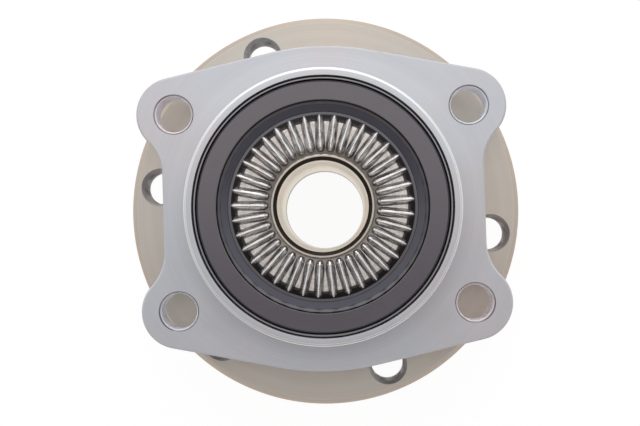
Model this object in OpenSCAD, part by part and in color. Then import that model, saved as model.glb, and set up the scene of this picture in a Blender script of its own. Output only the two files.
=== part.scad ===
// Driven wheel hub bearing unit: a stationary outer ring bolts to the knuckle, and a spindle with
// the wheel flange turns inside it on two rows of balls. The spindle's inboard end is rolled over
// the inner ring, and the rolled collar carries a face spline that takes the drive.
// The axis is Z, with +Z towards the car. The origin lies on the axis in the wheel mounting face.

/* [Wheel flange] */
// Outer diameter of the wheel flange
wheel_flange_d = 151; // [149:0.5:170]
// Thickness of the wheel flange
wheel_flange_t = 16; // [12:0.5:20]
// Chamfer round the inboard edge of the wheel flange
wheel_edge_chamfer = 1.8; // [0.5:0.1:2.5]
// Distance from the circle of the wheel bolts to the edge of the wheel flange
wheel_bolt_edge = 10.5; // [9.5:0.1:13]
// Number of wheel bolt holes
wheel_bolt_count = 6; // [5:1:6]
// Bore of a wheel bolt hole, the core of its fine 14 mm thread
wheel_bolt_bore_d = 12.6; // [12.4:0.1:13]
// Diameter at the mouth of a wheel bolt hole's chamfer
wheel_bolt_mouth_d = 15; // [14.2:0.1:16]
// Chamfer at the far mouth of the wheel bolt holes and the ear holes
bolt_hole_lead = 0.4; // [0.2:0.05:0.45]
// Angle of the first wheel bolt hole at rest
wheel_bolt_phase = 50.3; // [0:0.1:60]
// Diameter of the pilot that centres the wheel
pilot_d = 84; // [80:0.5:90]
// Height of the pilot beyond the wheel mounting face
pilot_h = 10; // [6:0.5:14]
// Diameter of the hollow inside the pilot
recess_d = 58; // [54:0.5:60]

/* [Knuckle flange] */
// Spacing of the ear holes along X
ear_hole_dx = 108; // [104:0.5:112]
// Spacing of the ear holes along Y
ear_hole_dy = 72; // [68:0.5:76]
// Bore of an ear hole, which clears a 12 mm bolt
ear_hole_bore_d = 13; // [13:0.1:14]
// Diameter at the mouth of an ear hole's chamfer
ear_hole_mouth_d = 14.8; // [14.4:0.1:16]
// Radius of an ear round its hole
ear_r = 13.7; // [12:0.1:15]
// Half height of the flange at the middle of its long edges
flange_half_h = 59.4; // [58:0.2:62]
// Half width of the flange between its ears
flange_half_w = 58.8; // [56:0.2:62]
// Radius of the crown in the middle of the long edges
flange_crown_r = 90; // [80:1:110]
// Radius of the hollow between an ear and the flange's short edge
ear_hollow_r = 18; // [12:0.5:24]
// Thickness of the knuckle flange
knuckle_flange_t = 13; // [10:0.5:16]
// Height of the knuckle face above the wheel flange
knuckle_face_h = 33; // [30:0.5:36]
// Wall of the spigot round the seal bore, which makes the spigot 97 mm across
spigot_wall = 2.85; // [2.6:0.05:3.6]
// Length of the spigot beyond the knuckle face
spigot_len = 24; // [21:0.5:28]
// Diameter of the outer ring between its two flanges
barrel_d = 106; // [100:0.5:110]
// Gap between the outer ring and the wheel flange
flange_gap = 2.5; // [1.5:0.1:4]

/* [Bearing] */
// Pitch diameter of both ball rows
row_pitch_d = 74; // [73:0.2:75]
// Ball diameter
ball_d = 12.7; // [12:0.1:13]
// Number of balls in a row
ball_count = 16; // [12:1:16]
// Contact angle from the radial plane
contact_angle = 38; // [30:1:42]
// Groove radius as a share of the ball diameter
groove_ratio = 0.53; // [0.52:0.005:0.55]
// Clearance between a ball and its grooves
race_clearance = 0.1; // [0.08:0.01:0.15]
// Clearance between a ball and its cage pocket
pocket_clearance = 0.2; // [0.15:0.01:0.3]
// Radial thickness of a cage
cage_t = 4.4; // [3.6:0.1:4.6]
// Thickness of the cage ring behind the pockets
cage_web = 1.6; // [1.2:0.1:2.4]
// Thickness of the inner ring at its low shoulder
inner_ring_wall = 7; // [5.5:0.1:9]
// Diameter of the through bore
bore_d = 29.4; // [26:0.2:30]
// How far the bore steps out at the mouth of the collar
bore_mouth_step = 1.1; // [0.8:0.1:1.4]
// Depth of the wider bore below the face spline
bore_mouth_depth = 14; // [8:0.5:20]

/* [Seals] */
// Sheet thickness of the seal cases and the slinger
sheet_t = 0.7; // [0.5:0.05:0.9]
// Depth of the inboard seal from the end of the spigot
inboard_seal_depth = 7.2; // [6.6:0.1:8.5]
// Depth of the outboard seal from the end of the outer ring
outboard_seal_depth = 4.4; // [4:0.1:6]
// Thickness of the rubber on the seal cases
rubber_t = 0.9; // [0.7:0.05:1.1]
// Running gap at the seal lips and round the cages
running_gap = 0.3; // [0.2:0.05:0.4]
// Thickness of the encoder rubber
encoder_t = 1; // [0.8:0.05:1.2]
// Gap between the encoder and the seal case round it
encoder_gap = 1.25; // [0.8:0.05:1.8]
// Width of the slinger's funnel bend, from the inner ring to the encoder
funnel_w = 2.7; // [2:0.1:3.4]
// Depth of the encoder face below the end of the spigot
encoder_drop = 0.5; // [0.2:0.1:1]

/* [Face spline] */
// Number of spline teeth
tooth_count = 37; // [30:1:37]
// Height of a tooth above the floor between the teeth
tooth_h = 2.3; // [1.6:0.1:2.6]
// Width of a tooth at its widest, at the floor
tooth_w = 3.5; // [2.8:0.05:3.6]
// Width of a tooth's crest
tooth_crest_w = 0.55; // [0.3:0.05:0.9]
// Distance of the teeth's outer tips inside the inner ring's rib
spline_inset = 2; // [1.6:0.1:3]
// Width of the groove between the collar's rim and the teeth
rim_groove_w = 0.8; // [0.6:0.1:1.2]
// Angle of the first tooth at rest
tooth_phase = 2.8; // [0:0.1:9]
// Height of the collar from the inner ring to the tooth crests
collar_h = 8; // [7:0.1:9]
// Width of the collar's raised rim
collar_rim_w = 0.85; // [0.7:0.05:1.1]

/* [Hidden] */
$fn = 96;
eps = 0.01;

// Levels along the axis
wheel_inboard_z = wheel_flange_t;
wheel_bolt_pcd = wheel_flange_d - 2 * wheel_bolt_edge;
knuckle_face_z = wheel_inboard_z + knuckle_face_h;
spigot_end_z = knuckle_face_z + spigot_len;
barrel_end_z = wheel_inboard_z + flange_gap;
pocket_r = ball_d / 2 + pocket_clearance;
cage_depth = cage_web + pocket_r;
cage_end_gap = 0.5;
inboard_seal_z = spigot_end_z - inboard_seal_depth;
outboard_seal_z = barrel_end_z + outboard_seal_depth;
inboard_row_z = inboard_seal_z - cage_end_gap - cage_depth;
outboard_row_z = outboard_seal_z + cage_end_gap + cage_depth;
split_z = (inboard_row_z + outboard_row_z) / 2;
ring_drop = 2;
ring_end_z = spigot_end_z - ring_drop;
crest_z = ring_end_z + collar_h;
floor_z = crest_z - tooth_h;

// Radii of the rows, shoulders and seats; the shares are of a ball's radius, from the pitch circle
ball_r = ball_d / 2;
row_r = row_pitch_d / 2;
groove_r = groove_ratio * ball_d;
groove_gap = ball_r + race_clearance;
low_shoulder_share = 0.86;
rib_share = 0.58;
outer_shoulder_share = 0.44;
land_step = 0.3;
inner_low_r = row_r - low_shoulder_share * ball_r;
rib_r = row_r - rib_share * ball_r;
outer_shoulder_r = row_r + outer_shoulder_share * ball_r;
outer_open_r = row_r + groove_gap;
seal_bore_step = 2.2;
seal_bore_lead = 0.4;
seal_bore_r = outer_open_r + seal_bore_step;
spigot_r = seal_bore_r + spigot_wall;
ring_seat_r = inner_low_r - inner_ring_wall;
spindle_land_r = rib_r + land_step;
spigot_chamfer = 0.9;
edge_chamfer = 0.8;
barrel_fillet = 3;
spindle_fillet = 4;
pilot_chamfer = 1.5;
recess_chamfer = 1;
recess_slope = [8, 6];
recess_rise = 5;

// Rolled collar
mouth_chamfer = 1.2;
mouth_slope = 0.6;
rim_edge = [0.25, 0.35];
rim_drop = 0.9;
groove_drop = 1.3;
floor_inset = 2.2;
tip_overhang = 1.3;
tooth_root = 2.6;
collar_foot = [0.7, 0.6];
bore_mouth_r = bore_d / 2 + bore_mouth_step;
collar_rim_r = bore_mouth_r + mouth_chamfer + collar_rim_w;
tooth_r_out = rib_r - spline_inset;
tooth_r_in = collar_rim_r + rim_groove_w;
floor_r_out = tooth_r_out - tip_overhang;
floor_r_in = tooth_r_in + floor_inset;
collar_foot_r = tooth_r_out + collar_foot[0];
rim_z = crest_z - rim_drop;
groove_floor_z = floor_z - groove_drop;
tooth_base_z = groove_floor_z - tooth_root;
flank_run_on = 0.25;
tooth_gap = 0.12;

// Encoder, slinger, seal webs and cages
bend_inset = 0.6;
bend_drop = 1.6;
outboard_web_share = 0.1;
inboard_web_gap = 2.4;
cage_gap = 1.6;
encoder_step = [0.9, 0.3];
encoder_chamfer = 0.3;
encoder_face_z = spigot_end_z - encoder_drop;
slinger_face_z = encoder_face_z - encoder_t;
case_edge_drop = 0.7;
case_in_r = seal_bore_r - sheet_t;
encoder_r_out = case_in_r - encoder_gap;
encoder_r_in = rib_r + funnel_w;
slinger_bend_r = encoder_r_in - bend_inset;
outboard_web_r = row_r - outboard_web_share * ball_r;
inboard_web_r = rib_r + sheet_t + inboard_web_gap;
cage_in_r = rib_r + cage_gap;

// Seal lips: where their feet stand on the rubber skin, as shares of its width, and their section
lip_feet = [0.28, 0.62];
lip_root_t = 1.1;
lip_tip_t = 0.45;
lip_reach = 2.2;

// Spline tooth at shares of its length: half width at the floor as a share of tooth_w, and the drop
// of the crest as a share of tooth_h
tooth_stations = [
    [0, 0.13, 0.8], [0.035, 0.29, 0.3], [0.12, 0.45, 0], [0.24, 0.5, 0], [0.55, 0.48, 0],
    [0.87, 0.47, 0], [0.95, 0.33, 0.05], [1, 0.12, 0.4]
];

function ball_angle(i) = 360 * (i + 0.5) / ball_count;
function row_name(row, i) = str(row, "_ball_", i + 1);

// Section of a groove whose ball contact lies along the unit vector u from the ball's centre
module groove_section(row_z, u) {
    back = groove_r - groove_gap;
    translate([row_r - back * u[0], row_z - back * u[1]]) circle(r = groove_r);
}

function inner_contact(side) = [-cos(contact_angle), side * sin(contact_angle)];
function outer_contact(side) = [cos(contact_angle), -side * sin(contact_angle)];

// Outline of one quarter of the knuckle flange: an ear, half a long edge and half a short edge
module flange_quarter() {
    ear = [ear_hole_dx / 2, ear_hole_dy / 2];
    crown = [0, flange_half_h - flange_crown_r];
    // The long edge's straight stretch touches both the crown and the ear
    reach = norm(ear - crown);
    lean = atan2(ear[1] - crown[1], ear[0]) + acos((flange_crown_r - ear_r) / reach);
    edge = [cos(lean), sin(lean)];
    // The hollow touches the ear and the straight short edge
    hollow_x = flange_half_w + ear_hollow_r;
    hollow_y = ear[1] - sqrt(pow(ear_r + ear_hollow_r, 2) - pow(hollow_x - ear[0], 2));
    hollow = [hollow_x, hollow_y];
    touch = ear + (hollow - ear) * ear_r / (ear_r + ear_hollow_r);
    translate(ear) circle(r = ear_r);
    intersection() {
        translate(crown) circle(r = flange_crown_r);
        square([(crown + flange_crown_r * edge)[0], flange_half_h + 1]);
    }
    difference() {
        polygon([
            [0, 0], [flange_half_w, 0], [flange_half_w, hollow_y], touch, ear, ear + ear_r * edge,
            crown + flange_crown_r * edge, [0, ear[1]]
        ]);
        translate(hollow) circle(r = ear_hollow_r);
    }
}

module knuckle_flange() {
    inner_r = (outer_open_r + spigot_r) / 2;
    translate([0, 0, knuckle_face_z - knuckle_flange_t]) linear_extrude(knuckle_flange_t) difference() {
        for (sx = [0, 1], sy = [0, 1])
            mirror([sx, 0]) mirror([0, sy]) flange_quarter();
        circle(r = inner_r);
    }
}

// Bolt hole down through a flange of thickness t, whose upper face is at z
module bolt_hole(bore_d, mouth_d, z, t) {
    depth = (mouth_d - bore_d) / 2;
    low_d = bore_d + 2 * bolt_hole_lead;
    translate([0, 0, z - t - 1]) cylinder(d = bore_d, h = t + 2);
    translate([0, 0, z - depth]) cylinder(d1 = bore_d, d2 = mouth_d + 2 * eps, h = depth + eps);
    translate([0, 0, z - t - eps]) cylinder(d1 = low_d + 2 * eps, d2 = bore_d, h = bolt_hole_lead + eps);
}

// Material that rounds off the inside corner at a point; sx and sy say on which side it lies
module corner_fillet(corner, r, sx, sy) {
    translate(corner) scale([sx, sy]) difference() {
        translate([-eps, -eps]) square(r + eps);
        translate([r, r]) circle(r = r);
    }
}

// Section of the outer ring without its knuckle flange
module outer_ring_section() {
    corner_fillet([barrel_d / 2, knuckle_face_z - knuckle_flange_t], barrel_fillet, 1, -1);
    difference() {
        polygon([
            [outer_shoulder_r, barrel_end_z],
            [barrel_d / 2 - edge_chamfer, barrel_end_z],
            [barrel_d / 2, barrel_end_z + edge_chamfer],
            [barrel_d / 2, knuckle_face_z - knuckle_flange_t / 2],
            [spigot_r, knuckle_face_z - knuckle_flange_t / 2],
            [spigot_r, spigot_end_z - spigot_chamfer],
            [spigot_r - spigot_chamfer, spigot_end_z],
            [outer_shoulder_r, spigot_end_z]
        ]);
        groove_section(outboard_row_z, outer_contact(-1));
        groove_section(inboard_row_z, outer_contact(1));
        // Open sides of the grooves
        translate([0, barrel_end_z - 1]) square([outer_open_r, outboard_row_z - barrel_end_z + 1]);
        translate([0, inboard_row_z]) square([outer_open_r, spigot_end_z - inboard_row_z + 1]);
        // Seal bores, the inboard one with a lead-in at its mouth
        translate([0, barrel_end_z - 1]) square([seal_bore_r, outboard_seal_depth + 1]);
        translate([0, inboard_seal_z]) square([seal_bore_r, inboard_seal_depth + 1]);
        polygon([
            [seal_bore_r - 1, spigot_end_z - 1 - seal_bore_lead],
            [seal_bore_r + 1 + seal_bore_lead, spigot_end_z + 1],
            [seal_bore_r - 1, spigot_end_z + 1]
        ]);
    }
}

module outer_ring() {
    color([0.68, 0.68, 0.71]) difference() {
        union() {
            rotate_extrude() outer_ring_section();
            knuckle_flange();
        }
        for (sx = [-1, 1], sy = [-1, 1])
            translate([sx * ear_hole_dx / 2, sy * ear_hole_dy / 2])
                bolt_hole(ear_hole_bore_d, ear_hole_mouth_d, knuckle_face_z, knuckle_flange_t);
    }
}

// Pressed case of the outboard seal: a sleeve in the outer ring and a web towards the spindle
module outboard_seal_case() {
    color([0.62, 0.62, 0.64]) rotate_extrude() difference() {
        translate([outboard_web_r, barrel_end_z + case_edge_drop])
            square([seal_bore_r - outboard_web_r, outboard_seal_depth - case_edge_drop]);
        translate([outboard_web_r - 1, barrel_end_z])
            square([case_in_r - outboard_web_r + 1, outboard_seal_depth - sheet_t]);
    }
}

// Section of a seal lip that leans outwards from its foot at a point to its tip, h higher or lower
module lip_section(foot, h) {
    root = [[0, 0], [lip_root_t, 0]];
    tip = [[lip_reach, h], [lip_reach - lip_tip_t, h]];
    translate(foot) polygon(h > 0 ? concat(root, tip) : [root[0], tip[1], tip[0], root[1]]);
}

// Rubber of the outboard seal: a skin on the case with two lips that run on the wheel flange
module outboard_seal_lips() {
    skin_z = outboard_seal_z - sheet_t - rubber_t;
    root_r = spindle_land_r + running_gap;
    foot_z = skin_z + rubber_t / 2;
    lip_z = wheel_inboard_z + running_gap;
    color([0.15, 0.15, 0.16]) rotate_extrude() {
        translate([root_r, skin_z]) square([case_in_r - root_r, rubber_t]);
        translate([root_r, skin_z]) square([outboard_web_r - root_r, rubber_t + sheet_t]);
        for (foot = lip_feet)
            lip_section([root_r + foot * (case_in_r - root_r), foot_z], lip_z - foot_z);
    }
}

// Pressed case of the inboard seal, open towards the slinger
module inboard_seal_case() {
    color([0.62, 0.62, 0.64]) rotate_extrude() difference() {
        translate([inboard_web_r, inboard_seal_z])
            square([seal_bore_r - inboard_web_r, inboard_seal_depth - case_edge_drop]);
        translate([inboard_web_r - 1, inboard_seal_z + sheet_t])
            square([case_in_r - inboard_web_r + 1, inboard_seal_depth]);
    }
}

// Rubber of the inboard seal: a skin on the case, a lip round the slinger's sleeve and two on its web
module inboard_seal_lips() {
    sleeve_r = rib_r + sheet_t + running_gap;
    skin_z = inboard_seal_z + sheet_t;
    foot_z = skin_z + rubber_t / 2;
    lip_z = slinger_face_z - sheet_t - running_gap;
    neck_r = sleeve_r + 0.8;
    neck_overlap = 0.3;
    edge_z = [0.9, 1.3];
    color([0.15, 0.15, 0.16]) rotate_extrude() {
        translate([neck_r, skin_z]) square([case_in_r - neck_r, rubber_t]);
        translate([neck_r, inboard_seal_z]) square([inboard_web_r - neck_r, sheet_t + rubber_t]);
        polygon([
            [neck_r, inboard_seal_z],
            [neck_r + neck_overlap, inboard_seal_z],
            [neck_r + neck_overlap, skin_z + rubber_t],
            [sleeve_r, inboard_seal_z + edge_z[1]],
            [sleeve_r, inboard_seal_z + edge_z[0]]
        ]);
        for (foot = lip_feet)
            lip_section([sleeve_r + foot * (case_in_r - sleeve_r), foot_z], lip_z - foot_z);
    }
}

// One tooth of the face spline along +X: a crowned ridge with a rounded root and a pointed tip. Its
// flanks run on below the floor and stop short of the next tooth's.
module spline_tooth() {
    n = len(tooth_stations);
    low = floor_z - flank_run_on;
    rings = [
        for (s = tooth_stations)
            let (
                r = tooth_r_in + s[0] * (tooth_r_out - tooth_r_in),
                half = s[1] * tooth_w,
                crest = min(tooth_crest_w / 2, half * 0.7),
                top = crest_z - s[2] * tooth_h,
                flank = (half - crest) / (top - floor_z),
                foot = min(half + flank * flank_run_on, PI * r / tooth_count - tooth_gap / 2)
            )
            [
                [r, -foot, tooth_base_z], [r, -foot, low], [r, -crest, top],
                [r, crest, top], [r, foot, low], [r, foot, tooth_base_z]
            ]
    ];
    m = len(rings[0]);
    sides = [
        for (i = [0 : n - 2], j = [0 : m - 1])
            let (a = i * m + j, b = i * m + (j + 1) % m, c = a + m, d = b + m)
            each [[a, b, d], [a, d, c]]
    ];
    caps = [[for (j = [m - 1 : -1 : 0]) j], [for (j = [0 : m - 1]) (n - 1) * m + j]];
    polyhedron(points = [for (ring = rings) each ring], faces = concat(sides, caps), convexity = 4);
}

// Section of the spindle, from the wheel pilot to the rolled collar, without the bolt holes
module hub_section() {
    recess_r = recess_d / 2;
    recess_top = wheel_inboard_z + recess_rise;
    corner_fillet([spindle_land_r, wheel_inboard_z], spindle_fillet, 1, 1);
    difference() {
        polygon([
            // Bore, from the recess in the pilot to the mouth in the collar
            [bore_d / 2, recess_top],
            [bore_d / 2, crest_z - bore_mouth_depth - mouth_slope],
            [bore_mouth_r, crest_z - bore_mouth_depth],
            [bore_mouth_r, rim_z - mouth_chamfer],
            [bore_mouth_r + mouth_chamfer, rim_z],
            // Raised rim, groove, tooth floor and outer slope of the collar
            [collar_rim_r - rim_edge[0], rim_z],
            [collar_rim_r, rim_z - rim_edge[1]],
            [collar_rim_r + rim_edge[0], groove_floor_z],
            [floor_r_in, floor_z],
            [floor_r_out, floor_z],
            [collar_foot_r, ring_end_z + collar_foot[1]],
            [collar_foot_r, ring_end_z],
            // Seat of the inner ring and the shoulder that it stands on
            [ring_seat_r, ring_end_z],
            [ring_seat_r, split_z],
            [inner_low_r, split_z],
            [inner_low_r, outboard_row_z],
            [spindle_land_r, outboard_row_z],
            [spindle_land_r, wheel_inboard_z],
            // Wheel flange
            [wheel_flange_d / 2 - wheel_edge_chamfer, wheel_inboard_z],
            [wheel_flange_d / 2, wheel_inboard_z - wheel_edge_chamfer],
            [wheel_flange_d / 2, edge_chamfer],
            [wheel_flange_d / 2 - edge_chamfer, 0],
            // Pilot and the recess inside it
            [pilot_d / 2, 0],
            [pilot_d / 2, pilot_chamfer - pilot_h],
            [pilot_d / 2 - pilot_chamfer, -pilot_h],
            [recess_r + recess_chamfer, -pilot_h],
            [recess_r, recess_chamfer - pilot_h],
            [recess_r, recess_top - recess_slope[1]],
            [recess_r - recess_slope[0], recess_top]
        ]);
        groove_section(outboard_row_z, inner_contact(-1));
    }
}

module hub_flange() {
    color([0.7, 0.67, 0.64]) difference() {
        union() {
            rotate_extrude() hub_section();
            for (i = [0 : tooth_count - 1])
                rotate(tooth_phase + 360 * i / tooth_count) spline_tooth();
        }
        for (i = [0 : wheel_bolt_count - 1])
            rotate(wheel_bolt_phase + 360 * i / wheel_bolt_count)
                translate([wheel_bolt_pcd / 2, 0])
                    bolt_hole(wheel_bolt_bore_d, wheel_bolt_mouth_d, wheel_inboard_z, wheel_flange_t);
    }
}

// Inboard inner ring: a low shoulder at the split, the groove, and the rib that the collar clamps
module inner_ring() {
    nose = 0.6;
    color([0.55, 0.55, 0.57]) rotate_extrude() difference() {
        polygon([
            [ring_seat_r, split_z],
            [inner_low_r - nose, split_z],
            [inner_low_r, split_z + nose],
            [inner_low_r, inboard_row_z],
            [rib_r, inboard_row_z],
            [rib_r, ring_end_z - nose],
            [rib_r - nose / 2, ring_end_z],
            [ring_seat_r, ring_end_z]
        ]);
        groove_section(inboard_row_z, inner_contact(1));
    }
}

// Pressed slinger: a sleeve on the inner ring, a funnel bend and a flat web that carries the encoder
module slinger() {
    sleeve_end = inboard_seal_z + running_gap;
    web_r = encoder_r_out + 0.2;
    bend_z = ring_end_z - bend_drop;
    color([0.3, 0.3, 0.33]) rotate_extrude() polygon([
        [rib_r, sleeve_end],
        [rib_r + sheet_t, sleeve_end],
        [rib_r + sheet_t, bend_z],
        [slinger_bend_r, slinger_face_z - sheet_t],
        [web_r, slinger_face_z - sheet_t],
        [web_r, slinger_face_z],
        [slinger_bend_r - bend_inset / 2, slinger_face_z],
        [rib_r, bend_z + bend_inset]
    ]);
}

// Magnetic encoder: a flat rubber ring bonded to the slinger, with a low step at its inner edge
module encoder_ring() {
    step_r = encoder_r_in + encoder_step[0];
    low_z = encoder_face_z - encoder_step[1];
    color([0.41, 0.39, 0.42]) rotate_extrude() polygon([
        [encoder_r_in, slinger_face_z],
        [encoder_r_out, slinger_face_z],
        [encoder_r_out, encoder_face_z - encoder_chamfer],
        [encoder_r_out - encoder_chamfer, encoder_face_z],
        [step_r, encoder_face_z],
        [step_r, low_z],
        [encoder_r_in, low_z]
    ]);
}

// Moulded snap cage: a ring behind the balls and fingers between them; side is where the ring lies
module ball_cage(row_z, side) {
    finger = 0.45 * ball_r;
    low = side > 0 ? row_z - finger : row_z - cage_depth;
    color([0.24, 0.27, 0.22]) difference() {
        translate([0, 0, low]) difference() {
            cylinder(r = cage_in_r + cage_t, h = finger + cage_depth);
            translate([0, 0, -1]) cylinder(r = cage_in_r, h = finger + cage_depth + 2);
        }
        for (i = [0 : ball_count - 1])
            rotate(ball_angle(i)) translate([row_r, 0, row_z]) sphere(r = pocket_r);
    }
}

module outboard_cage() {
    ball_cage(outboard_row_z, -1);
}

module inboard_cage() {
    ball_cage(inboard_row_z, 1);
}

module row_ball(i, row_z) {
    color([0.82, 0.83, 0.85]) rotate(ball_angle(i)) translate([row_r, 0, row_z]) sphere(d = ball_d);
}

outer_ring();
outboard_seal_case();
outboard_seal_lips();
inboard_seal_case();
inboard_seal_lips();
hub_flange();
inner_ring();
slinger();
encoder_ring();
outboard_cage();
inboard_cage();
for (i = [0 : ball_count - 1])
    row_ball(i, outboard_row_z);
for (i = [0 : ball_count - 1])
    row_ball(i, inboard_row_z);
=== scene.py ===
"""Looks of a driven wheel hub bearing unit: turned steel flanges, rubber seals and a rolled face spline."""

from dataclasses import dataclass
from enum import Enum
from functools import cache
import logging
import math
from typing import Optional, Sequence, Union

import bmesh
import bpy
from mathutils import Matrix, Vector


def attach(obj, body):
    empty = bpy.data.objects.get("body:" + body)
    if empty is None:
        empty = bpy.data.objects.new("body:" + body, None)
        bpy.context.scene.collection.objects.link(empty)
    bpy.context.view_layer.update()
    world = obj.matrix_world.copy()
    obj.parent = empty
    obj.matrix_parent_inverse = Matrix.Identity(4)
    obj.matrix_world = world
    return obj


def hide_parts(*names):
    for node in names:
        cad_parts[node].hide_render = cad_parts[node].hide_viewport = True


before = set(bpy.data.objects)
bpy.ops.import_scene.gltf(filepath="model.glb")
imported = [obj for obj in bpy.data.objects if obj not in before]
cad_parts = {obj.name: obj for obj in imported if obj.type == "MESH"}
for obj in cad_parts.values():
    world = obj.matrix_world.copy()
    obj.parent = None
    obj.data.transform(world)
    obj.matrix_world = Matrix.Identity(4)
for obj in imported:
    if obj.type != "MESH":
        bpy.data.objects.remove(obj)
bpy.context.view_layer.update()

LOG = logging.getLogger("wheel_hub")
MM = 0.001
Colour = tuple[float, float, float]
Point = tuple[float, float]
# The face spline in millimetres and degrees, which its mesh and its finish share.
TOOTH_COUNT = 37
TOOTH_PHASE_DEG = 2.8
TOOTH_H = 2.3
CREST_Z = 79.0


class Sock:
    """A value socket of a shader graph, on which Python's operators add Math nodes."""

    def __init__(self, graph: "Graph", socket: bpy.types.NodeSocket) -> None:
        """Wraps a socket.

        Args:
            graph: The graph that the socket belongs to.
            socket: An output socket that carries one number.
        """
        self.graph = graph
        self.socket = socket

    def _math(self, operation: str, *terms: "Value") -> "Sock":
        """Adds a Math node.

        Args:
            operation: The node's operation.
            *terms: Its inputs in order.

        Returns:
            The node's result.
        """
        made = self.graph.node("ShaderNodeMath", {"operation": operation}, dict(enumerate(terms)))
        return Sock(self.graph, made.outputs[0])

    def __add__(self, other: "Value") -> "Sock":
        """Self plus other."""
        return self._math("ADD", self, other)

    def __radd__(self, other: "Value") -> "Sock":
        """Other plus self."""
        return self._math("ADD", other, self)

    def __sub__(self, other: "Value") -> "Sock":
        """Self minus other."""
        return self._math("SUBTRACT", self, other)

    def __rsub__(self, other: "Value") -> "Sock":
        """Other minus self."""
        return self._math("SUBTRACT", other, self)

    def __mul__(self, other: "Value") -> "Sock":
        """Self times other."""
        return self._math("MULTIPLY", self, other)

    def __rmul__(self, other: "Value") -> "Sock":
        """Other times self."""
        return self._math("MULTIPLY", other, self)

    def clamp(self) -> "Sock":
        """Self held between 0 and 1."""
        return self._math("MAXIMUM", self._math("MINIMUM", self, 1.0), 0.0)

    def step(self, low: float, high: float) -> "Sock":
        """Smooth rise of self from 0 to 1.

        Args:
            low: Where the rise starts.
            high: Where it ends; below low it falls instead.

        Returns:
            The share of the rise.
        """
        made = self.graph.node(
            "ShaderNodeMapRange",
            {"interpolation_type": "SMOOTHSTEP"},
            {"Value": self, "From Min": low, "From Max": high},
        )
        return Sock(self.graph, made.outputs["Result"])

    def absolute(self) -> "Sock":
        """Self without its sign."""
        return self._math("ABSOLUTE", self)

    def turn_from(self, x: "Sock") -> "Sock":
        """Angle in radians of the point whose height is self and whose width is x."""
        return self._math("ARCTAN2", self, x)

    def fraction(self) -> "Sock":
        """Self without its whole part."""
        return self._math("FRACT", self)


Value = Union[Sock, float]


class Graph:
    """A node tree, and the ways of adding to it."""

    def __init__(self, tree: bpy.types.NodeTree) -> None:
        """Empties the tree.

        Args:
            tree: The tree of a material or a world.
        """
        self.tree = tree
        self.tree.nodes.clear()

    def node(
        self, kind: str, settings: Optional[dict[str, object]] = None, sockets: Optional[dict[object, object]] = None
    ) -> bpy.types.Node:
        """Adds a node.

        Args:
            kind: The node's type.
            settings: Its settings, which are set first.
            sockets: Values or links of its input sockets, by name or number.

        Returns:
            The node.
        """
        made = self.tree.nodes.new(kind)
        for key, value in (settings or {}).items():
            setattr(made, key, value)
        for key, value in (sockets or {}).items():
            source = value.socket if isinstance(value, Sock) else value
            if isinstance(source, bpy.types.NodeSocket):
                self.tree.links.new(source, made.inputs[key])
            elif isinstance(source, tuple) and made.inputs[key].type == "RGBA":
                made.inputs[key].default_value = (*source[:3], 1.0)
            else:
                made.inputs[key].default_value = source
        return made

    def vector(self, operation: str, *terms: object, scale: Optional[Value] = None) -> bpy.types.NodeSocket:
        """Adds a Vector Math node.

        Args:
            operation: The node's operation.
            *terms: Its vector inputs in order.
            scale: Its Scale input, if it has one.

        Returns:
            The vector that comes out.
        """
        sockets: dict[object, object] = dict(enumerate(terms))
        if scale is not None:
            sockets["Scale"] = scale
        return self.node("ShaderNodeVectorMath", {"operation": operation}, sockets).outputs["Vector"]

    def mix(self, share: Value, first: object, second: object) -> bpy.types.NodeSocket:
        """Mixes two colours.

        Args:
            share: How much of the second shows, from 0 to 1.
            first: A colour or a link.
            second: A colour or a link.

        Returns:
            The mixed colour.
        """
        return self.node("ShaderNodeMix", {"data_type": "RGBA"}, {0: share, 6: first, 7: second}).outputs[2]

    def parts(self, vector: bpy.types.NodeSocket) -> list[Sock]:
        """The three components of a vector."""
        return [Sock(self, out) for out in self.node("ShaderNodeSeparateXYZ", None, {"Vector": vector}).outputs]


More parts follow.
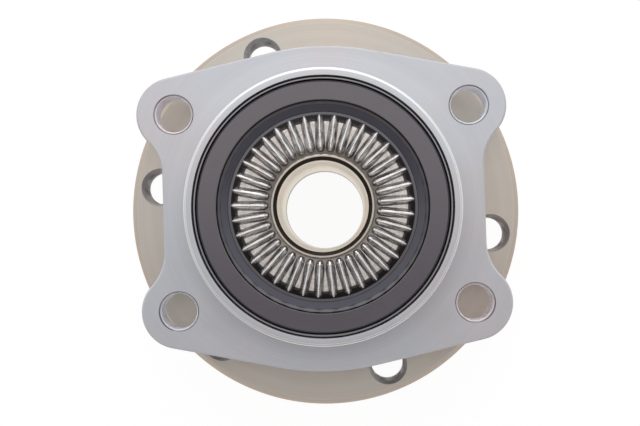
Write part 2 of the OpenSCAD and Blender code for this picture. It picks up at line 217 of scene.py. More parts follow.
class SurfaceGraph(Graph):
    """The node tree of one material, with the object's own coordinates in millimetres."""

    def __init__(self, name: str) -> None:
        """Starts an empty material.

        Args:
            name: Name of the material.
        """
        self.material = bpy.data.materials.new(name)
        self.material.use_nodes = True
        super().__init__(self.material.node_tree)
        place = self.node("ShaderNodeTexCoord")
        self.point = self.vector("SCALE", place.outputs["Object"], scale=1 / MM)
        flat = self.vector("MULTIPLY", self.point, (1.0, 1.0, 0.0))
        self.x, self.y, self.z = self.parts(self.point)
        self.radius = Sock(self, self.node("ShaderNodeVectorMath", {"operation": "LENGTH"}, {0: flat}).outputs["Value"])
        self.bearing = self.vector("NORMALIZE", flat)

    def noise(
        self, size: float, detail: float, roughness: float = 0.5, at: Optional[object] = None, stretch: float = 0.0
    ) -> Sock:
        """Cloudy noise from 0 to 1 over the surface.

        Args:
            size: Size of its patches in millimetres.
            detail: Number of finer layers.
            roughness: Strength of the finer layers.
            at: The point it is read at, where that isn't the object's own.
            stretch: Its distortion.

        Returns:
            The noise.
        """
        sockets = {"Vector": self.point if at is None else at, "Scale": 1.0 / size, "Distortion": stretch}
        sockets.update({"Detail": detail, "Roughness": roughness})
        return Sock(self, self.node("ShaderNodeTexNoise", {"noise_dimensions": "3D"}, sockets).outputs[0])

    def lines(self, along: Value, pitch: float, detail: float) -> Sock:
        """Random parallel lines, as a turning tool leaves them.

        Args:
            along: Distance across the lines in millimetres.
            pitch: Mean distance between them.
            detail: Number of finer layers.

        Returns:
            A height from 0 to 1.
        """
        sockets = {"W": along, "Scale": 1.0 / pitch, "Detail": detail, "Roughness": 0.6}
        return Sock(self, self.node("ShaderNodeTexNoise", {"noise_dimensions": "1D"}, sockets).outputs[0])

    def surface(
        self, base: object, roughness: Value, height: Optional[Sock] = None, depth: float = 0.02, **fixed: object
    ) -> bpy.types.Material:
        """Ends the graph in one Principled shader.

        Args:
            base: Base colour.
            roughness: Roughness.
            height: Height for the bump, from 0 to 1.
            depth: What a height of 1 stands for, in millimetres.
            **fixed: Values of other sockets, with _ for spaces, which are the same all over.

        Returns:
            The finished material.
        """
        sockets: dict[object, object] = {"Base Color": base, "Roughness": roughness}
        sockets.update({key.replace("_", " "): value for key, value in fixed.items()})
        if height is not None:
            bump = self.node("ShaderNodeBump", None, {"Strength": 1.0, "Distance": depth * MM, "Height": height})
            sockets["Normal"] = bump.outputs["Normal"]
        shader = self.node("ShaderNodeBsdfPrincipled", None, sockets)
        self.node("ShaderNodeOutputMaterial", None, {"Surface": shader.outputs[0]})
        return self.material


@dataclass(frozen=True)
class Band:
    """A ring of surface with a colour laid on it: some bands paint a highlight or shade, others give the part's own
    tone. Lengths are in millimetres.
    """

    colour: Colour
    r_low: float
    r_high: float
    z_low: float
    z_high: float
    soft: float

    def mask(self, graph: SurfaceGraph) -> Sock:
        """Where the band lies.

        Args:
            graph: The material's graph.

        Returns:
            1 in the band and 0 outside it.
        """
        soft = self.soft
        across = graph.radius.step(self.r_low - soft, self.r_low + soft)
        across = across * graph.radius.step(self.r_high + soft, self.r_high - soft)
        along = graph.z.step(self.z_low - soft, self.z_low + soft)
        return across * along * graph.z.step(self.z_high + soft, self.z_high - soft)


@dataclass(frozen=True)
class TurnedSteel:
    """Steel turned on a lathe: fine rings about the axis, a satin sheen that fans out from it, faint stains and a
    painted warm reflection in random sectors round the axis.
    """

    name: str
    colour: Colour
    roughness: float = 0.34
    ring_pitch: float = 0.5
    ring_slant: float = 0.618
    ring_contrast: float = 0.08
    ring_depth: float = 0.003
    ring_rough: float = 0.12
    broad_ratio: float = 9.0
    broad_shift: float = 37.0
    cloud_size: float = 16.0
    cloud_rough: float = 0.16
    stain: float = 0.06
    reflection_tint: Colour = (1.04, 0.985, 0.965)
    sectors: float = 1.6
    sector_edge: Point = (0.38, 0.66)
    anisotropy: float = 0.4
    bands: tuple[Band, ...] = ()

    def material(self) -> bpy.types.Material:
        """Builds the material.

        Returns:
            The finished material.
        """
        graph = SurfaceGraph(self.name)
        across = graph.radius + graph.z * self.ring_slant
        fine = graph.lines(across, self.ring_pitch, 3.0)
        broad = graph.lines(across + self.broad_shift, self.ring_pitch * self.broad_ratio, 1.0)
        cloud = graph.noise(self.cloud_size, 4.0, 0.55)
        sector = graph.noise(1.0, 2.0, 0.5, graph.vector("SCALE", graph.bearing, scale=self.sectors))
        light = 1.0 + (fine - 0.5) * (self.ring_contrast * 2) + (broad - 0.5) * self.ring_contrast
        light = light * (1.0 + (cloud - 0.5) * (self.stain * 2))
        # Painted reflection: random sectors round the axis take a warm tint that stands in for warm reflections.
        painted_warm_reflection = graph.mix(sector.step(*self.sector_edge), (1.0, 1.0, 1.0), self.reflection_tint)
        base = graph.vector("MULTIPLY", painted_warm_reflection, self.colour)
        for band in self.bands:
            base = graph.mix(band.mask(graph), base, band.colour)
        base = graph.vector("SCALE", base, scale=light)
        rough = (self.roughness + (cloud - 0.5) * self.cloud_rough + (fine - 0.5) * self.ring_rough).clamp()
        fan = {"Anisotropic": self.anisotropy, "Anisotropic_Rotation": 0.25}
        return graph.surface(base, rough, fine, self.ring_depth, Metallic=1.0, **fan)


@dataclass(frozen=True)
class SplineSteel:
    """The rolled collar: striated flanks and pale floors, with painted highlights on the crests and painted shade at
    the roots, in the groove and on the slope.
    """

    name: str
    # The crest colour paints the highlight on the crests and also colours the pale streaks; the root, slope and groove
    # colours paint shade.
    crest: Colour = (0.97, 0.965, 0.96)
    flank: Colour = (0.66, 0.645, 0.63)
    stain: Colour = (0.56, 0.45, 0.37)
    painted_root_shade: Colour = (0.15, 0.125, 0.105)
    floor: Colour = (0.74, 0.69, 0.655)
    painted_slope_shade: Colour = (0.075, 0.069, 0.069)
    groove: Colour = (0.25, 0.225, 0.21)
    stain_edge: Point = (0.5, 0.72)
    dark_streak: Point = (0.53, 0.43)
    pale_streak: Point = (0.53, 0.64)
    crest_half: Point = (0.27, 0.06)
    crest_rise: Point = (CREST_Z - 1.6, CREST_Z - 0.5)
    floor_z: float = CREST_Z - TOOTH_H
    slope_r: float = 29.15
    groove_r: float = 20.6
    streak_depth: float = 0.05

    def material(self) -> bpy.types.Material:
        """Builds the material.

        Returns:
            The finished material.
        """
        graph = SurfaceGraph(self.name)
        low, radius = graph.z - self.floor_z, graph.radius
        turn = graph.y.turn_from(graph.x) * (TOOTH_COUNT / math.tau) - TOOTH_PHASE_DEG * TOOTH_COUNT / 360.0
        # 100 keeps the turn above 0, and the half puts 0 in the middle of each tooth.
        beside = ((turn + 100.5).fraction() - 0.5) * radius * (math.tau / TOOTH_COUNT)
        streaks = self._streaks(graph, beside)
        scuffs = graph.noise(1.1, 4.0, 0.65)
        side = graph.mix(graph.noise(5.0, 3.0).step(*self.stain_edge) * 0.7, self.flank, self.stain)
        side = graph.mix(streaks.step(*self.dark_streak) * 0.9, side, tuple(c * 0.32 for c in self.flank))
        side = graph.mix(streaks.step(*self.pale_streak) * 0.7, side, self.crest)
        # Painted highlight: a near-white line along the middle of each crest, near the top of the tooth.
        painted_highlight = (beside + (scuffs - 0.5) * 0.25).absolute().step(*self.crest_half) * graph.z.step(*self.crest_rise)
        side = graph.mix(painted_highlight * (scuffs * 0.7 + 0.6).clamp(), side, self.crest)
        # Painted shade: the flanks darken to the root colour just above the floor.
        side = graph.mix(low.step(0.02, 0.28), self.painted_root_shade, side)
        pale = graph.mix(scuffs.step(0.35, 0.7), self.floor, tuple(c * 0.72 for c in self.floor))
        facing = graph.parts(graph.node("ShaderNodeNewGeometry").outputs["Normal"])[2]
        base = graph.mix(facing.step(0.93, 0.985) * low.step(0.3, 0.1), side, pale)
        # Painted shade: the collar's outer slope is coloured near black for the shade in the crevice below the teeth.
        outside = radius.step(self.slope_r, self.slope_r + 0.2) * low.step(0.2, 0.02)
        base = graph.mix(outside, base, self.painted_slope_shade)
        # Painted shade: the groove inside the teeth is darkened.
        base = graph.mix(low.step(0.1, -0.3) * radius.step(self.groove_r + 0.8, self.groove_r), base, self.groove)
        rough = 0.34 + (streaks - 0.5) * 0.3 + outside * 0.2
        return graph.surface(base, rough.clamp(), streaks, self.streak_depth, Metallic=1.0)

    @staticmethod
    def _streaks(graph: SurfaceGraph, beside: Sock) -> Sock:
        """Marks that run along the teeth, with fine marks across them.

        Args:
            graph: The material's graph.
            beside: Distance from the middle of the tooth.

        Returns:
            A height from 0 to 1.
        """
        along = graph.node(
            "ShaderNodeCombineXYZ", None, {"X": beside * 1.7, "Y": graph.radius * 0.22, "Z": graph.z * 0.9}
        ).outputs[0]
        wander = graph.vector("ADD", along, graph.vector("SCALE", graph.bearing, scale=37.0))
        long_marks = graph.noise(1.0, 3.0, 0.62, wander)
        cross_marks = graph.lines(graph.radius + graph.z * 0.3, 0.8, 3.0)
        return long_marks * 0.86 + cross_marks * 0.14


@dataclass(frozen=True)
class PolishedSteel:
    """Ground or polished bearing steel with faint hairlines."""

    name: str
    colour: Colour
    roughness: float = 0.12

    def material(self) -> bpy.types.Material:
        """Builds the material.

        Returns:
            The finished material.
        """
        graph = SurfaceGraph(self.name)
        cloud = graph.noise(3.0, 3.0)
        hair = graph.lines(graph.z + graph.radius, 0.08, 2.0)
        base = graph.vector("SCALE", self.colour, scale=0.96 + cloud * 0.08)
        return graph.surface(base, (self.roughness + (cloud - 0.5) * 0.06 + (hair - 0.5) * 0.04).clamp(), Metallic=1.0)


@dataclass(frozen=True)
class Rubber:
    """Moulded rubber: matt and dark, with a fine grain and a paler bloom."""

    name: str
    colour: Colour
    roughness: float = 0.6
    grain: float = 0.35
    grain_depth: float = 0.02
    index: float = 1.5
    bands: tuple[Band, ...] = ()

    def material(self) -> bpy.types.Material:
        """Builds the material.

        Returns:
            The finished material.
        """
        graph = SurfaceGraph(self.name)
        grain = graph.noise(self.grain, 3.0, 0.6)
        bloom = graph.noise(9.0, 4.0, 0.6)
        base: object = self.colour
        for band in self.bands:
            base = graph.mix(band.mask(graph), base, band.colour)
        base = graph.vector("SCALE", base, scale=0.82 + bloom * 0.36)
        rough = self.roughness + (bloom - 0.5) * 0.12
        return graph.surface(base, rough.clamp(), grain, self.grain_depth, IOR=self.index)


@dataclass(frozen=True)
class Nylon:
    """Glass-filled nylon: matt, with a fibrous mottle."""

    name: str
    colour: Colour

    def material(self) -> bpy.types.Material:
        """Builds the material.

        Returns:
            The finished material.
        """
        graph = SurfaceGraph(self.name)
        fibre = graph.noise(0.6, 4.0, 0.7, stretch=1.5)
        base = graph.mix(fibre.step(0.35, 0.7), self.colour, tuple(c * 1.5 for c in self.colour))
        return graph.surface(base, (0.45 + fibre * 0.2).clamp(), fibre, 0.015)


class Finish(Enum):
    """The finishes of the unit's surfaces."""

    RING = TurnedSteel(
        "turned_ring", (0.585, 0.595, 0.625), roughness=0.36,
        # Painted highlight: this band colours the spigot's end chamfer near white for the bright line along it.
        bands=(Band((0.88, 0.89, 0.90), 47.55, 48.7, 72.0, 73.2, 0.05),),
    )
    FORGED = TurnedSteel("forged_edge", (0.42, 0.41, 0.42), roughness=0.5, ring_contrast=0.05, anisotropy=0.0)
    # Painted shade: the ear holes' mouth chamfers are coloured dark for the dark line round each rim.
    EAR_MOUTH_SHADE = TurnedSteel("ear_mouth", (0.30, 0.30, 0.33), roughness=0.35, ring_pitch=0.4, anisotropy=0.0)
    # Partly painted light: the drilled walls are a rougher steel, and their colour is raised well above the ring's to
    # paint the light they show.
    EAR_BORE = TurnedSteel("ear_bore", (0.92, 0.93, 0.96), roughness=0.8, ring_pitch=0.4, anisotropy=0.0)
    TAPPED = TurnedSteel("tapped_wall", (0.60, 0.59, 0.585), roughness=0.6, ring_pitch=0.3, anisotropy=0.0)
    TOOTH = SplineSteel("spline_steel")
    BORE = TurnedSteel(
        "bored_steel", (0.86, 0.785, 0.655), roughness=0.33, ring_pitch=0.9, anisotropy=0.2,
        bands=(
            # Painted shade: the first band colours the mouth's chamfer near black.
            Band((0.052, 0.045, 0.039), 15.6, 17.08, 74.7, 77.48, 0.04),
            Band((0.58, 0.53, 0.465), 17.08, 18.3, 76.5, 77.6, 0.04),
            # Painted shade: the last band is a dark brown line at the bore's lower end.
            Band((0.27, 0.22, 0.15), 13.0, 16.0, 18.0, 28.5, 1.0),
        ),
    )
    SPINDLE = TurnedSteel(
        # Its tint is a painted warm reflection, as on the ring's steel.
        "spindle", (0.62, 0.575, 0.515), roughness=0.40, reflection_tint=(1.03, 0.99, 0.97),
        bands=(Band((0.58, 0.50, 0.425), 73.75, 75.6, 14.1, 15.95, 0.06),),
    )
    # Painted shade: the inner ring's ground steel is coloured near black, as its visible end face lies in shade.
    SHADED_BEARING = TurnedSteel("bearing_ring", (0.145, 0.14, 0.15), roughness=0.3, ring_pitch=0.3)
    CASE = TurnedSteel("pressed_case", (0.30, 0.30, 0.305), roughness=0.3, ring_pitch=0.8)
    SLINGER = TurnedSteel("slinger_sheet", (0.083, 0.082, 0.098), roughness=0.18, ring_pitch=0.4, anisotropy=0.0)
    BALL = PolishedSteel("polished_balls", (0.80, 0.81, 0.83))
    SEAL = Rubber("moulded_lips", (0.018, 0.018, 0.020))
    ENCODER = Rubber(
        "moulded_encoder", (0.031, 0.015, 0.031), roughness=0.22, grain=0.25, grain_depth=0.0015, index=2.1,
        # Painted shade: this band darkens the encoder's inner step and slope.
        bands=(Band((0.010, 0.011, 0.015), 35.0, 36.8, 71.0, 72.25, 0.06),),
    )
    CAGE = Nylon("cage_nylon", (0.045, 0.055, 0.038))

    @cache
    def made(self) -> bpy.types.Material:
        """The finish's material, built at its first use."""
        return self.value.material()

    def dress(self, piece: bpy.types.Object) -> None:
        """Gives a piece this finish and no other.

        Args:
            piece: A mesh object.
        """
        piece.data.materials.clear()
        piece.data.materials.append(self.made())
        LOG.info("%s: %s", piece.name, self.value.name)


class Solid:
    """Vertices and faces in millimetres that become one closed mesh, each face with one of its finishes."""

    def __init__(self, name: str, finishes: Sequence[Finish]) -> None:
        """Starts an empty solid.

        Args:
            name: Name of the piece.
            finishes: Its finishes, the first being the main one.
        """
        self.name = name
        self.finishes = list(finishes)
        self.mesh = bmesh.new()

    def _index(self, finish: Optional[Finish]) -> int:
        """Material number of a finish, or the main one's."""
        return self.finishes.index(finish) if finish else 0

    def grid(self, rows: Sequence[Sequence[Vector]], finish: Optional[Finish] = None) -> None:
        """Joins rows of points, each a closed ring, by quads.

        Args:
            rows: Rings of equally many points.
            finish: Finish of the quads.
        """
        index = self._index(finish)
        rings = [[self.mesh.verts.new(p * MM) for p in row] for row in rows]
        for low, high in zip(rings, rings[1:]):
            for j in range(len(low)):
                k = (j + 1) % len(low)
                self.mesh.faces.new((low[j], low[k], high[k], high[j])).material_index = index

    def lathe(self, line: Sequence[Point], finish: Optional[Finish] = None, count: int = 192) -> None:
        """Turns a line about the axis.

        Args:
            line: Points of radius and height.
            finish: Finish of the surface.
            count: Number of steps round the axis.
        """
        turns = [math.tau * j / count for j in range(count)]
        self.grid([[Vector((r * math.cos(a), r * math.sin(a), z)) for a in turns] for r, z in line], finish)

    def close(self, level: float, finish: Optional[Finish] = None) -> None:
        """Fills the flat face between the open edges at one height.

        Args:
            level: Height of the face.
            finish: Finish of the face.
        """
        self._weld()
        rim = [e for e in self.mesh.edges if e.is_boundary and all(abs(v.co.z - level * MM) < 1e-8 for v in e.verts)]
        made = bmesh.ops.triangle_fill(self.mesh, use_beauty=True, use_dissolve=False, edges=rim)
        for face in made["geom"]:
            if isinstance(face, bmesh.types.BMFace):
                face.material_index = self._index(finish)

    def _weld(self) -> None:
        """Joins points that lie in one place."""
        bmesh.ops.remove_doubles(self.mesh, verts=self.mesh.verts, dist=1e-7)

    def piece(self, body: str, node: str, slot: str, sharp_deg: float = 27.0) -> None:
        """Ends the mesh and puts it in place of a CAD node.

        Args:
            body: CAD body that it rides on.
            node: CAD node that it stands for.
            slot: The record's material slot; not used.
            sharp_deg: Edges that turn more than this stay sharp.
        """
        self._weld()
        bmesh.ops.recalc_face_normals(self.mesh, faces=self.mesh.faces)
        open_edges = sum(not e.is_manifold for e in self.mesh.edges)
        data = bpy.data.meshes.new(self.name)
        self.mesh.to_mesh(data)
        self.mesh.free()
        for finish in self.finishes:
            data.materials.append(finish.made())
        data.shade_smooth()
        data.set_sharp_from_angle(angle=math.radians(sharp_deg))
        made = bpy.data.objects.new(self.name, data)
        bpy.context.scene.collection.objects.link(made)
        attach(made, body)
        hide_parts(node)
        LOG.info("%s: %d faces, %d open edges, on %s", self.name, len(data.polygons), open_edges, body)


def arc(centre: Point, radius: float, start: float, end: float, steps: int) -> list[Point]:
    """Points along an arc.

    Args:
        centre: Its centre, as radius and height.
        radius: Its radius.
        start: Angle in degrees where it starts.
        end: Angle where it ends.
        steps: Number of steps.

    Returns:
        The points, ends included.
    """
    angles = [math.radians(start + (end - start) * i / steps) for i in range(steps + 1)]
    return [(centre[0] + radius * math.cos(a), centre[1] + radius * math.sin(a)) for a in angles]


def eased(line: Sequence[Point], radius: float = 0.12, least_deg: float = 24.0) -> list[Point]:
    """Rounds the corners of a line a little, as a deburred edge is.

    Args:
        line: Points of radius and height.
        radius: How far from the corner the rounding starts.
        least_deg: Corners that turn less stay.

    Returns:
        The line with its rounded corners.
    """
    made = [line[0]]
    for before, corner, after in zip(line, line[1:], line[2:]):
        a, c, b = Vector(before), Vector(corner), Vector(after)
        into, out = c - a, b - c
        if min(into.length, out.length) < 2.2 * radius or math.degrees(into.angle(out)) < least_deg:
            made.append(corner)
            continue
        start, end = c - into.normalized() * radius, c + out.normalized() * radius
        made += [tuple(start.lerp(c, t).lerp(c.lerp(end, t), t)) for t in (0.0, 0.33, 0.67, 1.0)]
    return made + [line[-1]]


@dataclass(frozen=True)
class Hole:
    """A hole through a flange, chamfered at both mouths; it has a thread where major_r is more than core_r."""

    x: float
    y: float
    top: float
    bottom: float
    core_r: float
    mouth_r: float
    pitch: float
    major_r: float
    lead: float = 0.4
    root_share: float = 0.22
    flank_share: float = 0.66
    run_out: float = 0.3
    levels_per_turn: int = 6
    count: int = 60

    def rows(self) -> list[list[Vector]]:
        """Rings of points from the upper face down to the lower.

        Returns:
            The rings.
        """
        depth = self.mouth_r - self.core_r
        high, low = self.top - depth, self.bottom + self.lead
        steps = round((high - low) / self.pitch * self.levels_per_turn)
        levels = [self.top, self.top - depth * 0.5]
        levels += [high + (low - high) * i / steps for i in range(steps + 1)] + [self.bottom]
        return [[self._point(math.tau * j / self.count, z) for j in range(self.count)] for z in levels]

    def _point(self, angle: float, z: float) -> Vector:
        """Point of the wall at an angle and a height.

        Args:
            angle: Angle about the hole's axis.
            z: Height.

        Returns:
            The point.
        """
        wave = abs(2 * ((z / self.pitch - angle / math.tau) % 1.0) - 1)
        ends = [max(0.0, way / self.pitch - self.run_out) for way in (z - self.bottom, self.top - z)]
        depth = min(1.0, max(0.0, (wave - self.root_share) / self.flank_share)) * min(1.0, *ends)
        thread = (self.major_r - self.core_r) * depth
        chamfer = max(self.mouth_r - (self.top - z), self.core_r + self.lead - (z - self.bottom))
        r = max(self.core_r + thread, chamfer)
        return Vector((self.x + r * math.cos(angle), self.y + r * math.sin(angle), z))


@dataclass
class OuterRing:
    """The stationary outer ring: barrel, knuckle flange with four ears, and the spigot round the seal."""

    ear_x: float = 54.0
    ear_y: float = 36.0
    ear_r: float = 13.7
    half_h: float = 59.4
    half_w: float = 58.8
    crown_r: float = 90.0
    hollow_r: float = 18.0
    face_z: float = 49.0
    flange_t: float = 13.0
    edge: float = 0.6
    spigot_r: float = 48.5
    spigot_edge: float = 0.9
    end_z: float = 73.0
    foot_fillet: float = 0.8
    barrel_r: float = 53.0
    barrel_end_z: float = 18.5
    barrel_fillet: float = 3.0
    barrel_edge: float = 0.8
    seal_bore_r: float = 45.65
    seal_bore_lead: float = 0.08
    open_r: float = 43.45
    shoulder_r: float = 39.794
    inboard_seat_z: float = 65.8
    outboard_seat_z: float = 22.9
    groove_r: float = 6.731
    inboard_groove: Point = (36.779, 57.323)
    outboard_groove: Point = (36.779, 31.377)
    hole_r: float = 6.5
    hole_mouth_r: float = 7.4
    hole_pitch: float = 2.0

    def build(self) -> None:
        """Builds and dresses the ring."""
        solid = Solid("outer_ring_turned", [Finish.RING, Finish.FORGED, Finish.EAR_MOUTH_SHADE, Finish.EAR_BORE])
        low = self.face_z - self.flange_t
        solid.lathe(eased(self._line()))
        outline = self._outline()
        walls = [(self.edge, low), (0.0, low + self.edge), (0.0, self.face_z - self.edge), (self.edge, self.face_z)]
        rings = [[Vector((*(p - n * inset), z)) for p, n in outline] for inset, z in walls]
        solid.grid(rings[:2])
        solid.grid(rings[1:3], Finish.FORGED)
        solid.grid(rings[2:])
        for x in (-self.ear_x, self.ear_x):
            for y in (-self.ear_y, self.ear_y):
                hole = Hole(x, y, self.face_z, low, self.hole_r, self.hole_mouth_r, self.hole_pitch, self.hole_r)
                rows = hole.rows()
                # The mouth rows take the painted shade of the hole's rim.
                solid.grid(rows[:2], Finish.EAR_MOUTH_SHADE)
                # The wall rows take the pale steel whose colour paints part of the light on them.
                solid.grid(rows[1:], Finish.EAR_BORE)
        solid.close(self.face_z)
        solid.close(low)
        solid.piece("outer", "outer_ring", "turned_ring_steel")

    def _line(self) -> list[Point]:
        """The turned section, from the knuckle face over the spigot and through the bore to the flange's underside.

        Returns:
            Points of radius and height.
        """
        foot, barrel, edge, lead = self.foot_fillet, self.barrel_fillet, self.spigot_edge, self.seal_bore_lead
        low = self.face_z - self.flange_t
        line = arc((self.spigot_r + foot, self.face_z + foot), foot, 270, 180, 5)
        line += arc((self.spigot_r - edge, self.end_z - edge), edge, 0, 90, 6)
        line += [(self.seal_bore_r + lead, self.end_z), (self.seal_bore_r, self.end_z - lead)]
        line += [(self.seal_bore_r, self.inboard_seat_z), (self.open_r, self.inboard_seat_z)]
        rim = math.degrees(math.acos((self.open_r - self.inboard_groove[0]) / self.groove_r))
        land = math.degrees(math.acos((self.shoulder_r - self.inboard_groove[0]) / self.groove_r))
        line += arc(self.inboard_groove, self.groove_r, rim, -land, 14)
        line += arc(self.outboard_groove, self.groove_r, land, -rim, 14)
        line += [(self.open_r, self.outboard_seat_z), (self.seal_bore_r, self.outboard_seat_z)]
        line += [(self.seal_bore_r, self.barrel_end_z), (self.barrel_r - self.barrel_edge, self.barrel_end_z)]
        line += [(self.barrel_r, self.barrel_end_z + self.barrel_edge)]
        return line + arc((self.barrel_r + barrel, low - barrel), barrel, 180, 90, 8)

    def _outline(self) -> list[tuple[Vector, Vector]]:
        """The flange's outline, counter-clockwise.

        Returns:
            Points and their outward normals.
        """
        ear = Vector((self.ear_x, self.ear_y))
        crown = Vector((0.0, self.half_h - self.crown_r))
        to_ear = ear - crown
        lean = math.degrees(math.atan2(to_ear.y, to_ear.x) + math.acos((self.crown_r - self.ear_r) / to_ear.length))
        hollow = Vector((self.half_w + self.hollow_r, 0.0))
        hollow.y = ear.y - math.sqrt((self.ear_r + self.hollow_r) ** 2 - (hollow.x - ear.x) ** 2)
        touch = math.degrees(math.atan2(hollow.y - ear.y, hollow.x - ear.x))
        quarter = [(Vector((self.half_w, hollow.y * i / 6)), Vector((1.0, 0.0))) for i in range(6)]
        quarter += self._bend(hollow, -self.hollow_r, 180.0, 180.0 + touch, 10)
        quarter += self._bend(ear, self.ear_r, touch, lean, 36)
        quarter += self._bend(crown, self.crown_r, lean, 90.0, 14)
        full = []
        for sx, sy, step in ((1, 1, 1), (-1, 1, -1), (-1, -1, 1), (1, -1, -1)):
            full += [(Vector((p.x * sx, p.y * sy)), Vector((n.x * sx, n.y * sy))) for p, n in quarter[::step]]
        least = 1e-4
        kept = [full[0]]
        for point in full[1:]:
            if (point[0] - kept[-1][0]).length > least:
                kept.append(point)
        return kept if (kept[0][0] - kept[-1][0]).length > least else kept[:-1]

    @staticmethod
    def _bend(centre: Vector, radius: float, start: float, end: float, steps: int) -> list[tuple[Vector, Vector]]:
        """An arc of the outline.

        Args:
            centre: Its centre.
            radius: Its radius, below 0 where it is hollow.
            start: Angle in degrees where it starts.
            end: Angle where it ends.
            steps: Number of steps.

        Returns:
            Points and their outward normals.
        """
        sign = math.copysign(1.0, radius)
        rays = [math.radians(start + (end - start) * i / steps) for i in range(steps + 1)]
        ways = [Vector((math.cos(a), math.sin(a))) for a in rays]
        return [(centre + way * abs(radius), way * sign) for way in ways]


def between(table: Sequence[Point], at: float) -> float:
    """Value at a place in a table.

    Args:
        table: Places and values in order.
        at: The place.

    Returns:
        The value, even between two places.
    """
    if at <= table[0][0]:
        return table[0][1]
    for (x0, y0), (x1, y1) in zip(table, table[1:]):
        if at <= x1:
            return y0 + (y1 - y0) * (at - x0) / (x1 - x0)
    return table[-1][1]


@dataclass
class FaceSpline:
    """The rolled collar's teeth, as one surface of heights over radius and angle.

    Each station is a share of a tooth's length, with the tooth's half width and its crest's drop there, as shares of
    its width and height. The columns run from the crest (0) over its edge (1) and foot (2) to the next gap (3).
    """

    tooth_w: float = 3.5
    crest_w: float = 0.55
    crest_drop: float = 0.07
    r_in: float = 18.65
    r_out: float = 31.317
    floor: tuple[Point, ...] = ((18.1, 76.1), (20.85, 76.7), (30.017, 76.7), (32.017, 71.6))
    stations: tuple[tuple[float, float, float], ...] = (
        (0, 0.13, 0.8), (0.035, 0.29, 0.3), (0.12, 0.45, 0), (0.24, 0.5, 0), (0.55, 0.48, 0),
        (0.87, 0.47, 0), (0.95, 0.33, 0.05), (1, 0.12, 0.4),
    )
    end_shares: tuple[float, ...] = (0.0, 0.01, 0.035, 0.07, 0.12, 0.18, 0.9, 0.925, 0.95, 0.975, 1.0)
    body_shares: tuple[float, ...] = tuple(0.24 + 0.066 * i for i in range(10))
    foot_gap: float = 0.01
    columns: tuple[float, ...] = (0.0, 0.7, 1.0, 1.12, 1.26, 1.42, 1.58, 1.74, 1.88, 2.0, 2.12, 2.5, 3.0)
    crown: float = 1.45

    def rows(self) -> list[list[Vector]]:
        """Rings of points from the groove inside the teeth to the foot of the collar's slope.

        Returns:
            The rings.
        """
        length = self.r_out - self.r_in
        toothed = [self.r_in + share * length for share in sorted(self.end_shares + self.body_shares)]
        inside, outside = (self.floor[0][0], self.r_in - self.foot_gap), (self.r_out + self.foot_gap, self.floor[-1][0])
        rows = [self._ring(r, False) for r in inside] + [self._ring(r, True) for r in toothed]
        return rows + [self._ring(r, False) for r in outside]

    def _ring(self, r: float, toothed: bool) -> list[Vector]:
        """One ring of points.

        Args:
            r: Its radius.
            toothed: Whether the teeth stand on it.

        Returns:
            The points.
        """
        share = (r - self.r_in) / (self.r_out - self.r_in)
        half = between([(s, w) for s, w, _ in self.stations], share) * self.tooth_w
        top = CREST_Z - between([(s, d) for s, _, d in self.stations], share) * TOOTH_H
        edge_z, crest = top - self.crest_drop, min(self.crest_w / 2, half * 0.7)
        gap = math.pi * r / TOOTH_COUNT
        base = between(self.floor, r)
        side = []
        for q in self.columns:
            if q <= 1:
                across, z = crest * q, top - self.crest_drop * q**4
            elif q <= 2:
                z = edge_z - (q - 1) ** self.crown * (edge_z - (CREST_Z - TOOTH_H))
                across = crest + (q - 1) * (half - crest)
            else:
                across, z = half + (q - 2) * (gap - half), base
            side.append((across, max(base, z) if toothed and q <= 2 else base))
        ring = []
        for k in range(TOOTH_COUNT):
            centre = math.radians(TOOTH_PHASE_DEG + 360.0 * k / TOOTH_COUNT)
            for sign, part in ((-1, side[:0:-1]), (1, side[:-1])):
                for across, z in part:
                    angle = centre + sign * across / r
                    ring.append(Vector((r * math.cos(angle), r * math.sin(angle), z)))
        return ring


